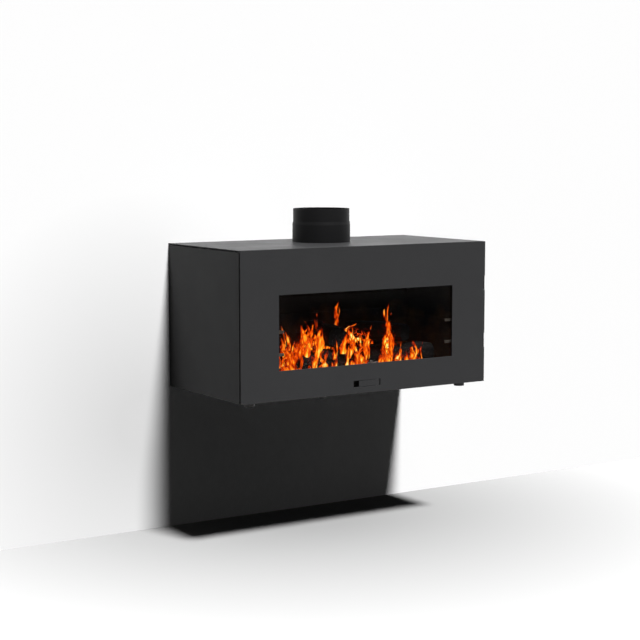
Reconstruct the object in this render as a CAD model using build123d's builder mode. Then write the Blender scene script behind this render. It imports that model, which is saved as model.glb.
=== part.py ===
"""Wall-hung steel fireplace with a full-front glazed door, a flue collar and four low feet.

All lengths are millimetres. X runs to the right across the front, Y runs back to the wall
and Z runs up. The origin lies under the middle of the box, at the level of the feet's soles.
"""
import os
from math import cos, radians, sin

from build123d import *

os.makedirs("parts", exist_ok=True)

# Outer box
width = 1000.0
height = 500.0
depth = 500.0  # face of the front panel to the wall
sheet = 3.0  # casing panels
front_sheet = 3.0  # front panel
shadow_gap = 6.0  # between the front panel and the casing
joint_gap = 3.0  # open joint between the top panel and the side panels
fold = 17.0  # folded edges of the side panels
back_recess = 22.0  # casing back to the wall

# Window
window_w = 710.0
window_h = 250.0
window_sill = 100.0  # underside of the box to the window's lower edge

# Feet
foot_d = 37.0
foot_h = 18.0
foot_in_x = 66.0  # side of the box to the foot's centre
foot_in_y = 60.0  # front or back of the box to the foot's centre
foot_stud_d = 8.0
foot_stud_len = 14.0

# Flue
flue_to_wall = 202.0
flue_rise = 117.0  # top panel to the flue's rim
spigot_d = 198.6
spigot_wall = 2.5
spigot_swell = 0.5  # lower part, inside the collar
spigot_taper = 3.0
collar_d = 204.0
collar_h = 62.0
collar_cone = 8.0

# Fire chamber
side_space = 23.0  # casing to the side of the firebox
back_space = 46.0  # casing back to the firebox, where the supply air comes down
hearth_rise = 60.0  # underside of the box to the hearth
hearth_t = 30.0
hearth_front = 66.0  # face of the front panel to the hearth's front edge
lining_t = 25.0
lining_rise = 366.0  # underside of the box to the lining's top
side_seam_low = 135.0  # above the underside of the box
side_seam_high = 212.0
back_seam_low = 170.0
back_seam_high = 239.0
seam_bevel = 2.0
plate = 4.0  # firebox steel
chamber_top = 436.0  # underside of the box to the firebox roof
baffle_t = 25.0
baffle_len = 285.0

# Door
glass_t = 4.0
glass_lap = 20.0  # glass beyond the window's edge
tape_t = 3.0
tape_in = 3.0  # tape's inner edge behind the window's edge
glass_play = 7.0  # glass edge to the door frame
frame_bar = 22.0
frame_depth = 25.0
rope_d = 10.0
rope_groove = 5.0
rope_corner = 16.0
rope_play = 0.4
rest_gap = 0.3  # between curved faces of two bodies at rest
jamb_lip = 2.0  # door frame opening beyond the firebox opening

# Glass clips and screws
clip_t = 2.0
clip_w = 10.0
clip_reach = 25.0  # into the window
clip_leg = 15.0
clip_low = 152.0  # above the underside of the box
clip_high = 228.0
strip_len = 700.0
strip_lap = 15.0
screw_d = 4.0
screw_head_d = 7.0
screw_head_t = 2.4
screw_len = 10.0
strip_screw_pitch = 280.0

# Hinges, at the right edge
hinge_inset = 3.5  # hinge axis from the right side and from the front
knuckle_d = 7.0
hinge_pin_d = 4.0
hinge_fit = 0.05
knuckle_mid = 20.0  # casing knuckle
knuckle_end = 14.0  # each door knuckle
knuckle_gap = 0.3
hinge_low = 148.0  # above the underside of the box
hinge_high = 352.0
leaf_t = 3.0
leaf_space = 28.5  # door frame to the hinge leaf
casing_leaf_len = 44.0

# Handle and latch
lever_len = 84.0  # lever plate
lever_h = 20.0
lever_x = 3.0  # middle of the lever plate
lever_level = 23.0  # underside of the box to the lever's lower edge
lever_play = 1.0
lever_slit = 4.0  # at the pivot end
scoop_len = 22.0
hub_d = 9.0
hub_in = 5.0  # pivot axis from the lever's right end
hub_depth = 8.5  # pivot axis behind the front
shaft_d = 6.0
shaft_fit = 0.05
pocket_wall = 1.5
pocket_depth = 19.0
pocket_margin = 4.0
arm_t = 3.0
arm_reach = 12.5
arm_pin_d = 4.0
bar_t = 3.0
bar_w = 16.0
bar_level = 8.0  # underside of the box to the bar's underside
bar_front = 11.0  # face of the front panel to the bar
arm_gap = 1.0  # between the bar and the drive arm
latch_travel = 10.0
lever_angle = 50.0
guide_w = 16.0
guide_wall = 3.0
guide_fit = 0.3
guide_from_hook = 42.0
guide_middle = -180.0
guide_near = 32.0  # from the lever's pivot
bar_tail = 44.0  # bar beyond the drive arm
stud_d = 6.0
stud_in = 38.0  # side of the box to the keeper stud
hook_t = 5.7
hook_neck = 8.5
hook_lap = 2.0  # hook tip past the stud's far side
keeper_t = 3.0
keeper_w = 22.0

# Air supply
port_l = 24.0
port_w = 14.0
port_pitch = 60.0
port_count = 7
port_y = 56.0  # face of the front panel to the ports' middle
slide_t = 2.5
slide_w = 28.0
slide_margin = 26.0
slide_play = 0.3
air_travel = 30.0
rail_t = 2.5
rail_lip = 6.0
knob_x = -150.0
knob_d = 22.0
knob_h = 10.0
knob_stem_d = 8.0
knob_gap = 3.0
inlet_d = 100.0
inlet_wall = 2.0
inlet_level = 110.0
inlet_flange = 10.0
inlet_shoulder = 1.0
duct_h = 30.0
duct_t = 3.0
duct_hole_d = 8.0
duct_hole_pitch = 40.0
duct_hole_count = 21

# Wall fixing
wall_rail_len = 700.0
wall_rail_t = 4.0
wall_rail_level = 300.0
wall_rail_web = 64.0
wall_rail_lip = 45.0
wall_rail_out = 14.0
rail_hole_d = 11.0
rail_hole_dx = 600.0
rail_hole_dz = 32.0
hook_len = 120.0
hook_x = 250.0
hook_drop = 34.0
spacer_d = 40.0
spacer_x = 350.0
spacer_level = 60.0
spacer_hole_d = 11.0
stand_side = 40.0
stand_in = 30.0
tie_d = 16.0
tie_x = 380.0
tie_low = 60.0
tie_high = 400.0
panel_screw_d = 4.0
panel_screw_head_d = 9.0
panel_screw_head_t = 3.0
panel_screw_pitch = 190.0

# Levels and planes that the pieces share
base_z = foot_h
top_z = base_z + height
front_y = -depth / 2
wall_y = depth / 2
front_back = front_y + front_sheet
casing_front = front_back + shadow_gap
casing_back = wall_y - back_recess
side_in = width / 2 - sheet
side_top = top_z - sheet - joint_gap
floor_top = base_z + sheet
flue_y = wall_y - flue_to_wall
spigot_seat = spigot_d / 2 + spigot_swell
collar_top = top_z + collar_h + collar_cone
window_z = base_z + window_sill + window_h / 2

glass_w = window_w + 2 * glass_lap
glass_h = window_h + 2 * glass_lap
glass_front = front_back + tape_t
glass_back = glass_front + glass_t
jamb_w = glass_w + 2 * glass_play
jamb_h = glass_h + 2 * glass_play
frame_back = front_back + frame_depth
rope_w = jamb_w + frame_bar
rope_h = jamb_h + frame_bar
rope_y = frame_back - rope_groove + rope_d / 2
mouth_y = rope_y + rope_d / 2 + rest_gap  # front of the firebox
mouth_back = mouth_y + plate

firebox_x = side_in - side_space
lining_out = firebox_x - plate
lining_x = lining_out - lining_t
firebox_y = casing_back - sheet - back_space - plate
lining_y = firebox_y - lining_t
hearth_z = base_z + hearth_rise
hearth_y = front_y + hearth_front
firebox_floor = hearth_z - hearth_t - plate
lining_top = base_z + lining_rise
roof_z = base_z + chamber_top
clip_levels = (clip_low, clip_high)
hinge_levels = (hinge_low, hinge_high)


def block(x, y, z, mode=Mode.ADD):
    """A box from x[0] to x[1], y[0] to y[1] and z[0] to z[1] in the open part."""
    with Locations(((x[0] + x[1]) / 2, (y[0] + y[1]) / 2, (z[0] + z[1]) / 2)):
        Box(x[1] - x[0], y[1] - y[0], z[1] - z[0], mode=mode)


def facing_front(y):
    """The upright plane at depth y whose normal points out of the front."""
    return Plane.XZ.offset(-y)


# Casing
for side, sign in (("left", -1), ("right", 1)):
    with BuildPart() as panel:
        block(sorted((sign * side_in, sign * width / 2)), (casing_front, wall_y), (base_z, side_top))
        inner = sorted((sign * side_in, sign * (side_in - fold)))
        block(inner, (casing_front, casing_back - sheet), (side_top - sheet, side_top))
        block(inner, (casing_front, casing_back - sheet), (floor_top, floor_top + sheet))
        block(inner, (casing_back - 2 * sheet, casing_back - sheet), (floor_top, side_top))
    panel.part.label = f"casing_{side}"
    export_step(panel.part, f"parts/casing_{side}.step")

with BuildPart() as casing_top:
    block((-width / 2, width / 2), (casing_front, wall_y), (top_z - sheet, top_z))
    with BuildSketch(Plane.XY.offset(top_z)):
        with Locations((0, flue_y)):
            Circle(spigot_seat + shaft_fit)
    extrude(amount=-sheet, mode=Mode.SUBTRACT)
    spacer_spots = [(x, y) for x in (-width / 2 + sheet + fold / 2, width / 2 - sheet - fold / 2)
                    for y in (casing_front + 2 * fold, 0, casing_back - 2 * fold)]
    with BuildSketch(Plane.XY.offset(side_top)):
        with Locations(*spacer_spots):
            Circle(fold / 3)
    extrude(amount=joint_gap)
casing_top.part.label = "casing_top"
export_step(casing_top.part, "parts/casing_top.step")

with BuildPart() as casing_bottom:
    block((-side_in, side_in), (casing_front, casing_back - sheet), (base_z, floor_top))
    with BuildSketch(Plane.XY.offset(base_z)):
        foot_x = width / 2 - foot_in_x
        foot_y = depth / 2 - foot_in_y
        with GridLocations(2 * foot_x, 2 * foot_y, 2, 2):
            Circle(foot_stud_d / 2 + shaft_fit)
        slot_y = front_y + port_y
        with Locations((knob_x + air_travel / 2, slot_y)):
            SlotCenterToCenter(air_travel, knob_stem_d + 2 * lever_play)
    extrude(amount=sheet, mode=Mode.SUBTRACT)
casing_bottom.part.label = "casing_bottom"
export_step(casing_bottom.part, "parts/casing_bottom.step")

screw_rows = [base_z + height / 2 + k * panel_screw_pitch for k in (-1, 0, 1)]
screw_x = side_in - fold / 2
with BuildPart() as casing_back_panel:
    block((-side_in, side_in), (casing_back - sheet, casing_back), (base_z, side_top))
    with BuildSketch(facing_front(casing_back)):
        with Locations((0, base_z + inlet_level)):
            Circle(inlet_d / 2 + inlet_shoulder + shaft_fit)
        with Locations(*[(s * screw_x, z) for s in (-1, 1) for z in screw_rows]):
            Circle(panel_screw_d / 2 + shaft_fit)
    extrude(amount=sheet, mode=Mode.SUBTRACT)
casing_back_panel.part.label = "casing_back"
export_step(casing_back_panel.part, "parts/casing_back.step")

with BuildPart() as back_panel_screws:
    with BuildSketch(facing_front(casing_back)):
        with Locations(*[(s * screw_x, z) for s in (-1, 1) for z in screw_rows]):
            Circle(panel_screw_head_d / 2)
    extrude(amount=-panel_screw_head_t)
    with BuildSketch(facing_front(casing_back)):
        with Locations(*[(s * screw_x, z) for s in (-1, 1) for z in screw_rows]):
            Circle(panel_screw_d / 2)
    extrude(amount=sheet)
back_panel_screws.part.label = "back_panel_screws"
export_step(back_panel_screws.part, "parts/back_panel_screws.step")

# Feet
with BuildPart() as feet:
    with BuildSketch():
        with GridLocations(2 * foot_x, 2 * foot_y, 2, 2):
            Circle(foot_d / 2)
    extrude(amount=foot_h)
    rims = feet.edges().filter_by(GeomType.CIRCLE).group_by(Axis.Z)[0]
    chamfer(rims, 1.0)
    with BuildSketch(Plane.XY.offset(foot_h)):
        with GridLocations(2 * foot_x, 2 * foot_y, 2, 2):
            Circle(foot_stud_d / 2)
    extrude(amount=foot_stud_len)
feet.part.label = "feet"
export_step(feet.part, "parts/feet.step")

# Firebox
with BuildPart() as firebox_mouth:
    with BuildSketch(facing_front(mouth_back)):
        with Locations((0, (firebox_floor + roof_z + plate) / 2)):
            Rectangle(2 * firebox_x, roof_z + plate - firebox_floor)
        with Locations((0, window_z)):
            Rectangle(jamb_w - 2 * jamb_lip, jamb_h - 2 * jamb_lip, mode=Mode.SUBTRACT)
    extrude(amount=plate)
firebox_mouth.part.label = "firebox_front_frame"
export_step(firebox_mouth.part, "parts/firebox_front_frame.step")

for side, sign in (("left", -1), ("right", 1)):
    with BuildPart() as wall:
        block(sorted((sign * lining_out, sign * firebox_x)), (mouth_back, firebox_y + plate),
              (firebox_floor, roof_z + plate))
    wall.part.label = f"firebox_{side}"
    export_step(wall.part, f"parts/firebox_{side}.step")

with BuildPart() as firebox_back:
    block((-lining_out, lining_out), (firebox_y, firebox_y + plate), (firebox_floor, roof_z + plate))
firebox_back.part.label = "firebox_back"
export_step(firebox_back.part, "parts/firebox_back.step")

with BuildPart() as firebox_roof:
    block((-lining_out, lining_out), (mouth_back, firebox_y), (roof_z, roof_z + plate))
    with BuildSketch(Plane.XY.offset(roof_z)):
        with Locations((0, flue_y)):
            Circle(spigot_seat + shaft_fit)
    extrude(amount=plate, mode=Mode.SUBTRACT)
firebox_roof.part.label = "firebox_roof"
export_step(firebox_roof.part, "parts/firebox_roof.step")

port_spots = [((k - (port_count - 1) / 2) * port_pitch, front_y + port_y) for k in range(port_count)]
with BuildPart() as firebox_floor_plate:
    block((-lining_out, lining_out), (mouth_back, firebox_y), (firebox_floor, firebox_floor + plate))
    with BuildSketch(Plane.XY.offset(firebox_floor)):
        with Locations(*port_spots):
            Rectangle(port_l, port_w)
    extrude(amount=plate, mode=Mode.SUBTRACT)
firebox_floor_plate.part.label = "firebox_floor"
export_step(firebox_floor_plate.part, "parts/firebox_floor.step")

with BuildPart() as firebox_stands:
    for x in (-1, 1):
        for y in (mouth_back + stand_in + stand_side, firebox_y - stand_in):
            block((x * (firebox_x - stand_in) - stand_side / 2, x * (firebox_x - stand_in) + stand_side / 2),
                  (y - stand_side / 2, y + stand_side / 2), (floor_top, firebox_floor))
firebox_stands.part.label = "firebox_stands"
export_step(firebox_stands.part, "parts/firebox_stands.step")

with BuildPart() as back_ties:
    with BuildSketch(facing_front(casing_back - sheet)):
        with Locations(*[(s * tie_x, base_z + z) for s in (-1, 1) for z in (tie_low, tie_high)]):
            Circle(tie_d / 2)
    extrude(amount=casing_back - sheet - firebox_y - plate)
back_ties.part.label = "back_ties"
export_step(back_ties.part, "parts/back_ties.step")

# Lining, in courses that stand on the hearth
side_levels = (hearth_z, base_z + side_seam_low, base_z + side_seam_high, lining_top)
back_levels = (hearth_z, base_z + back_seam_low, base_z + back_seam_high, lining_top)
for course, name in enumerate(("lower", "middle", "upper")):
    for side, sign in (("left", -1), ("right", 1)):
        with BuildPart() as brick:
            block(sorted((sign * lining_x, sign * lining_out)), (mouth_back, lining_y),
                  side_levels[course:course + 2])
            inside = brick.faces().sort_by(Axis.X)[0 if sign > 0 else -1]
            chamfer(inside.edges().filter_by(Axis.Y), seam_bevel)
        brick.part.label = f"{side}_lining_{name}"
        export_step(brick.part, f"parts/{side}_lining_{name}.step")
    with BuildPart() as brick:
        block((-lining_out, lining_out), (lining_y, firebox_y), back_levels[course:course + 2])
        inside = brick.faces().sort_by(Axis.Y)[0]
        chamfer(inside.edges().filter_by(Axis.X), seam_bevel)
    brick.part.label = f"back_lining_{name}"
    export_step(brick.part, f"parts/back_lining_{name}.step")

for side, span in (("left", (-lining_out, 0)), ("right", (0, lining_out))):
    with BuildPart() as slab:
        block(span, (hearth_y, firebox_y), (hearth_z - hearth_t, hearth_z))
        chamfer(slab.edges().filter_by(Axis.Y).group_by(Axis.Z)[-1], seam_bevel)
    slab.part.label = f"hearth_{side}"
    export_step(slab.part, f"parts/hearth_{side}.step")

with BuildPart() as baffle:
    block((-lining_out, lining_out), (firebox_y - baffle_len, firebox_y), (lining_top, lining_top + baffle_t))
    chamfer(baffle.edges().filter_by(Axis.X).group_by(Axis.Y)[0], seam_bevel)
baffle.part.label = "baffle_plate"
export_step(baffle.part, "parts/baffle_plate.step")

# Flue
with BuildPart() as flue_spigot:
    with BuildSketch(Plane.XZ.offset(-flue_y)):
        with BuildLine():
            Polyline((spigot_seat, roof_z), (spigot_seat, collar_top), (spigot_d / 2, collar_top + spigot_taper),
                     (spigot_d / 2, top_z + flue_rise), (spigot_d / 2 - spigot_wall, top_z + flue_rise),
                     (spigot_d / 2 - spigot_wall, roof_z), close=True)
        make_face()
    revolve(axis=Axis((0, flue_y, 0), (0, 0, 1)))
flue_spigot.part.label = "flue_spigot"
export_step(flue_spigot.part, "parts/flue_spigot.step")

with BuildPart() as flue_collar:
    with BuildSketch(Plane.XZ.offset(-flue_y)):
        bore_r = spigot_seat + shaft_fit
        with BuildLine():
            Polyline((bore_r, top_z), (collar_d / 2, top_z), (collar_d / 2, top_z + collar_h),
                     (bore_r + 0.6, collar_top), (bore_r, collar_top), close=True)
        make_face()
    revolve(axis=Axis((0, flue_y, 0), (0, 0, 1)))
flue_collar.part.label = "flue_collar"
export_step(flue_collar.part, "parts/flue_collar.step")

# Door: front panel with window, handle and hinge cut-outs
lever_left = lever_x - lever_len / 2
lever_right = lever_x + lever_len / 2
lever_z = base_z + lever_level + lever_h / 2
scoop_left = lever_left - scoop_len
slit_right = lever_right + lever_slit
hinge_x = width / 2 - hinge_inset
hinge_y = front_y + hinge_inset
knuckle_span = knuckle_mid + 2 * knuckle_gap + 2 * knuckle_end
with BuildPart() as front_panel:
    with BuildSketch(facing_front(front_back)):
        with Locations((0, base_z + height / 2)):
            Rectangle(width, height)
        with Locations((0, window_z)):
            Rectangle(window_w, window_h, mode=Mode.SUBTRACT)
        with Locations(((scoop_left + slit_right) / 2, lever_z)):
            Rectangle(slit_right - scoop_left, lever_h + 2 * lever_play, mode=Mode.SUBTRACT)
        for level in hinge_levels:
            with Locations((width / 2, base_z + level)):
                Rectangle(2 * (hinge_inset + knuckle_d / 2 + 0.5), knuckle_span + 1, mode=Mode.SUBTRACT)
    extrude(amount=front_sheet)
front_panel.part.label = "door_front_panel"
export_step(front_panel.part, "parts/door_front_panel.step")

with BuildPart() as door_frame:
    with BuildSketch(facing_front(frame_back)):
        with Locations((0, window_z)):
            Rectangle(jamb_w + 2 * frame_bar, jamb_h + 2 * frame_bar)
            Rectangle(jamb_w, jamb_h, mode=Mode.SUBTRACT)
    extrude(amount=frame_depth)
    with BuildSketch(facing_front(frame_back)):
        groove = rope_d / 2 + rope_play / 2
        with Locations((0, window_z)):
            RectangleRounded(rope_w + 2 * groove, rope_h + 2 * groove, rope_corner + groove)
            RectangleRounded(rope_w - 2 * groove, rope_h - 2 * groove, rope_corner - groove, mode=Mode.SUBTRACT)
    extrude(amount=rope_groove, mode=Mode.SUBTRACT)
    for sign in (-1, 1):
        with BuildSketch(Plane.YZ.offset(sign * jamb_w / 2)):
            with Locations(*[(glass_back + clip_leg - screw_head_d, base_z + z) for z in clip_levels]):
                Circle(screw_d / 2)
        extrude(amount=sign * screw_len, mode=Mode.SUBTRACT)
    for sign in (-1, 1):
        with BuildSketch(Plane.XY.offset(window_z + sign * jamb_h / 2)):
            with Locations(*[(k * strip_screw_pitch, glass_back + clip_leg - screw_head_d) for k in (-1, 0, 1)]):
                Circle(screw_d / 2)
        extrude(amount=sign * screw_len, mode=Mode.SUBTRACT)
door_frame.part.label = "door_frame"
export_step(door_frame.part, "parts/door_frame.step")

with BuildPart() as door_glass:
    with BuildSketch(facing_front(glass_back)):
        with Locations((0, window_z)):
            RectangleRounded(glass_w, glass_h, 3)
    extrude(amount=glass_t)
door_glass.part.label = "door_glass"
export_step(door_glass.part, "parts/door_glass.step")

with BuildPart() as glass_seal:
    with BuildSketch(facing_front(glass_front)):
        with Locations((0, window_z)):
            Rectangle(glass_w, glass_h)
            Rectangle(window_w + 2 * tape_in, window_h + 2 * tape_in, mode=Mode.SUBTRACT)
    extrude(amount=tape_t)
glass_seal.part.label = "glass_seal"
export_step(glass_seal.part, "parts/glass_seal.step")

with BuildPart() as rope_seal:
    with BuildLine(Plane(origin=(0, rope_y, window_z), x_dir=(1, 0, 0), z_dir=(0, -1, 0))) as route:
        FilletPolyline((0, rope_h / 2), (rope_w / 2, rope_h / 2), (rope_w / 2, -rope_h / 2), (0, -rope_h / 2),
                       radius=rope_corner)
    with BuildSketch(Plane(origin=(0, rope_y, window_z + rope_h / 2), x_dir=(0, 1, 0), z_dir=(1, 0, 0))):
        Circle(rope_d / 2)
    sweep(path=route.wires()[0])
    mirror(about=Plane.YZ)
rope_seal.part.label = "door_rope_seal"
export_step(rope_seal.part, "parts/door_rope_seal.step")

leg_y = (glass_back, glass_back + clip_leg)
screw_y = leg_y[1] - screw_head_d
with BuildPart() as glass_clips:
    for sign in (-1, 1):
        for z in clip_levels:
            span = (base_z + z - clip_w / 2, base_z + z + clip_w / 2)
            root = sign * jamb_w / 2
            block(sorted((root, root - sign * clip_t)), leg_y, span)
            block(sorted((root, sign * (window_w / 2 - clip_reach))), (leg_y[0], leg_y[0] + clip_t), span)
        with BuildSketch(Plane.YZ.offset(sign * (jamb_w / 2 - clip_t))):
            with Locations(*[(screw_y, base_z + z) for z in clip_levels]):
                Circle(screw_d / 2 + shaft_fit)
        extrude(amount=sign * clip_t, mode=Mode.SUBTRACT)
glass_clips.part.label = "glass_clips"
export_step(glass_clips.part, "parts/glass_clips.step")

with BuildPart() as glass_strips:
    for sign in (-1, 1):
        root = window_z + sign * jamb_h / 2
        tip = window_z + sign * (glass_h / 2 - strip_lap)
        block((-strip_len / 2, strip_len / 2), leg_y, sorted((root, root - sign * clip_t)))
        block((-strip_len / 2, strip_len / 2), (leg_y[0], leg_y[0] + clip_t), sorted((root, tip)))
        with BuildSketch(Plane.XY.offset(root - sign * clip_t)):
            with Locations(*[(k * strip_screw_pitch, screw_y) for k in (-1, 0, 1)]):
                Circle(screw_d / 2 + shaft_fit)
        extrude(amount=sign * clip_t, mode=Mode.SUBTRACT)
glass_strips.part.label = "glass_retaining_strips"
export_step(glass_strips.part, "parts/glass_retaining_strips.step")

with BuildPart() as glass_screws:
    for sign in (-1, 1):
        for radius, start, run in ((screw_head_d / 2, clip_t + screw_head_t, screw_head_t),
                                   (screw_d / 2, clip_t, clip_t + screw_len - 1)):
            with BuildSketch(Plane.YZ.offset(sign * (jamb_w / 2 - start))):
                with Locations(*[(screw_y, base_z + z) for z in clip_levels]):
                    Circle(radius)
            extrude(amount=sign * run)
            with BuildSketch(Plane.XY.offset(window_z + sign * (jamb_h / 2 - start))):
                with Locations(*[(k * strip_screw_pitch, screw_y) for k in (-1, 0, 1)]):
                    Circle(radius)
            extrude(amount=sign * run)
glass_screws.part.label = "glass_screws"
export_step(glass_screws.part, "parts/glass_screws.step")

# Hinges: each casing leaf's knuckle stands between two door knuckles, on one pin
with BuildPart() as casing_leaves:
    for level in hinge_levels:
        mid = base_z + level
        half = knuckle_mid / 2
        block((side_in - leaf_t, side_in), (hinge_y, casing_front + casing_leaf_len), (mid - half, mid + half))
        with BuildSketch(Plane.XY.offset(mid - half)):
            with Locations((hinge_x, hinge_y)):
                Circle(knuckle_d / 2)
        extrude(amount=knuckle_mid)
        with BuildSketch(Plane.XY.offset(mid - half)):
            with Locations((hinge_x, hinge_y)):
                Circle(hinge_pin_d / 2 + hinge_fit)
        extrude(amount=knuckle_mid, mode=Mode.SUBTRACT)
casing_leaves.part.label = "hinge_leaves_casing"
export_step(casing_leaves.part, "parts/hinge_leaves_casing.step")

with BuildPart() as door_leaves:
    leaf_left = jamb_w / 2 + frame_bar + leaf_space
    leaf_right = hinge_x - knuckle_d / 2 - 0.5
    leaf_y = (front_back, front_back + leaf_t)
    for level in hinge_levels:
        mid = base_z + level
        reach = knuckle_span / 2
        block((leaf_left, leaf_right), leaf_y, (mid - reach, mid + reach))
        for low in (mid - reach, mid + reach - knuckle_end):
            block((leaf_right - 1, hinge_x), leaf_y, (low, low + knuckle_end))
            with BuildSketch(Plane.XY.offset(low)):
                with Locations((hinge_x, hinge_y)):
                    Circle(knuckle_d / 2)
            extrude(amount=knuckle_end)
            with BuildSketch(Plane.XY.offset(low)):
                with Locations((hinge_x, hinge_y)):
                    Circle(hinge_pin_d / 2 + hinge_fit)
            extrude(amount=knuckle_end, mode=Mode.SUBTRACT)
door_leaves.part.label = "hinge_leaves_door"
export_step(door_leaves.part, "parts/hinge_leaves_door.step")

with BuildPart() as hinge_pins:
    for level in hinge_levels:
        with BuildSketch(Plane.XY.offset(base_z + level - knuckle_span / 2)):
            with Locations((hinge_x, hinge_y)):
                Circle(hinge_pin_d / 2)
        extrude(amount=knuckle_span)
hinge_pins.part.label = "hinge_pins"
export_step(hinge_pins.part, "parts/hinge_pins.step")

# Handle: a flush lever on an upright shaft, in a pocket behind the front panel
hub_x = lever_right - hub_in
hub_y = front_y + hub_depth
lever_low = base_z + lever_level
lever_high = lever_low + lever_h
pocket_x = (scoop_left - pocket_margin, slit_right + pocket_margin)
pocket_z = (lever_low - pocket_margin, lever_high + pocket_margin)
bar_z = (base_z + bar_level, base_z + bar_level + bar_t)
arm_z = (bar_z[1] + arm_gap, bar_z[1] + arm_gap + arm_t)
with BuildPart() as handle_pocket:
    block(pocket_x, (front_back, front_back + pocket_depth), pocket_z)
    block((pocket_x[0] + pocket_wall, pocket_x[1] - pocket_wall),
          (front_back, front_back + pocket_depth - pocket_wall),
          (pocket_z[0] + pocket_wall, pocket_z[1] - pocket_wall), mode=Mode.SUBTRACT)
    with BuildSketch(Plane.XY.offset(pocket_z[0])):
        with Locations((hub_x, hub_y)):
            Circle(shaft_d / 2 + shaft_fit)
    extrude(amount=pocket_z[1] - pocket_z[0], mode=Mode.SUBTRACT)
handle_pocket.part.label = "handle_pocket"
export_step(handle_pocket.part, "parts/handle_pocket.step")

with BuildPart() as handle_lever:
    with BuildSketch(Plane.XY.offset(lever_low)):
        with BuildLine():
            Polyline((lever_left, front_y), (lever_right, front_y), (lever_right, front_back),
                     (hub_x + hub_d / 2, hub_y), (hub_x - hub_d / 2, hub_y),
                     (hub_x - hub_d, front_back), (lever_left, front_back), close=True)
        make_face()
        with Locations((hub_x, hub_y)):
            Circle(hub_d / 2)
            Circle(shaft_d / 2 + shaft_fit, mode=Mode.SUBTRACT)
    extrude(amount=lever_h)
handle_lever.part.label = "handle_lever"
export_step(handle_lever.part, "parts/handle_lever.step")

with BuildPart() as handle_shaft:
    with BuildSketch(Plane.XY.offset(arm_z[0])):
        with Locations((hub_x, hub_y)):
            Circle(shaft_d / 2)
    extrude(amount=pocket_z[1] + arm_t - arm_z[0])
handle_shaft.part.label = "handle_shaft"
export_step(handle_shaft.part, "parts/handle_shaft.step")

pin_y = hub_y + arm_reach
with BuildPart() as drive_arm:
    with BuildSketch(Plane.XY.offset(arm_z[0])):
        with Locations((hub_x, hub_y)):
            Circle(hub_d / 2 + 1)
        with Locations((hub_x, pin_y)):
            Circle(arm_pin_d / 2 + 2)
        with Locations((hub_x, (hub_y + pin_y) / 2)):
            Rectangle(arm_pin_d + 4, arm_reach)
        with Locations((hub_x, hub_y)):
            Circle(shaft_d / 2 + shaft_fit, mode=Mode.SUBTRACT)
    extrude(amount=arm_t)
    with BuildSketch(Plane.XY.offset(bar_z[0])):
        with Locations((hub_x, pin_y)):
            Circle(arm_pin_d / 2)
    extrude(amount=arm_z[0] - bar_z[0])
drive_arm.part.label = "drive_arm"
export_step(drive_arm.part, "parts/drive_arm.step")

# Latch: a flat bar whose hooked end reaches behind a stud on the casing
bar_y = (front_y + bar_front, front_y + bar_front + bar_w)
stud_x = -width / 2 + stud_in
stud_y = bar_y[0] + hook_neck + stud_d / 2 + 0.5
hook_y = stud_y + stud_d / 2 + rest_gap
hook_tip = stud_x + stud_d / 2 - hook_lap
hook_left = stud_x - stud_d / 2 - latch_travel - hook_lap
bar_right = hub_x + bar_tail
shoulder = stud_x + stud_d + latch_travel + 4
with BuildPart() as latch_bar:
    with BuildSketch(Plane.XY.offset(bar_z[0])):
        with BuildLine():
            Polyline((hook_left, bar_y[0]), (bar_right, bar_y[0]), (bar_right, bar_y[1]), (shoulder, bar_y[1]),
                     (shoulder, bar_y[0] + hook_neck), (hook_left + hook_t, bar_y[0] + hook_neck),
                     (hook_left + hook_t, hook_y), (hook_tip, hook_y), (hook_tip, hook_y + hook_t),
                     (hook_left, hook_y + hook_t), close=True)
        make_face()
        swing = arm_reach * (1 - cos(radians(lever_angle)))
        slack = arm_reach * sin(radians(lever_angle)) - latch_travel
        with Locations((hub_x, pin_y - swing / 2)):
            Rectangle(arm_pin_d + 2 * abs(slack) + 0.6, swing + arm_pin_d + 1, mode=Mode.SUBTRACT)
    extrude(amount=bar_t)
latch_bar.part.label = "latch_bar"
export_step(latch_bar.part, "parts/latch_bar.step")

with BuildPart() as latch_guides:
    for x in (shoulder + guide_from_hook, guide_middle, hub_x + guide_near):
        block((x - guide_w / 2, x + guide_w / 2), (front_back, bar_y[1] + guide_fit + guide_wall),
              (bar_z[0] - guide_fit - guide_wall, bar_z[1] + guide_fit + guide_wall))
        block((x - guide_w / 2, x + guide_w / 2), (bar_y[0] - guide_fit, bar_y[1] + guide_fit),
              (bar_z[0] - guide_fit, bar_z[1] + guide_fit), mode=Mode.SUBTRACT)
latch_guides.part.label = "latch_guides"
export_step(latch_guides.part, "parts/latch_guides.step")

keeper_z = bar_z[1] + arm_gap
with BuildPart() as latch_keeper:
    block((-side_in, stud_x + stud_d), (stud_y - keeper_w / 2, stud_y + keeper_w / 2), (keeper_z, keeper_z + keeper_t))
    block((-side_in, -side_in + keeper_t), (stud_y - keeper_w / 2, stud_y + keeper_w / 2),
          (keeper_z, keeper_z + keeper_w))
    with BuildSketch(Plane.XY.offset(bar_z[0] - 1)):
        with Locations((stud_x, stud_y)):
            Circle(stud_d / 2)
    extrude(amount=keeper_z - bar_z[0] + 1)
latch_keeper.part.label = "latch_keeper"
export_step(latch_keeper.part, "parts/latch_keeper.step")

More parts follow.
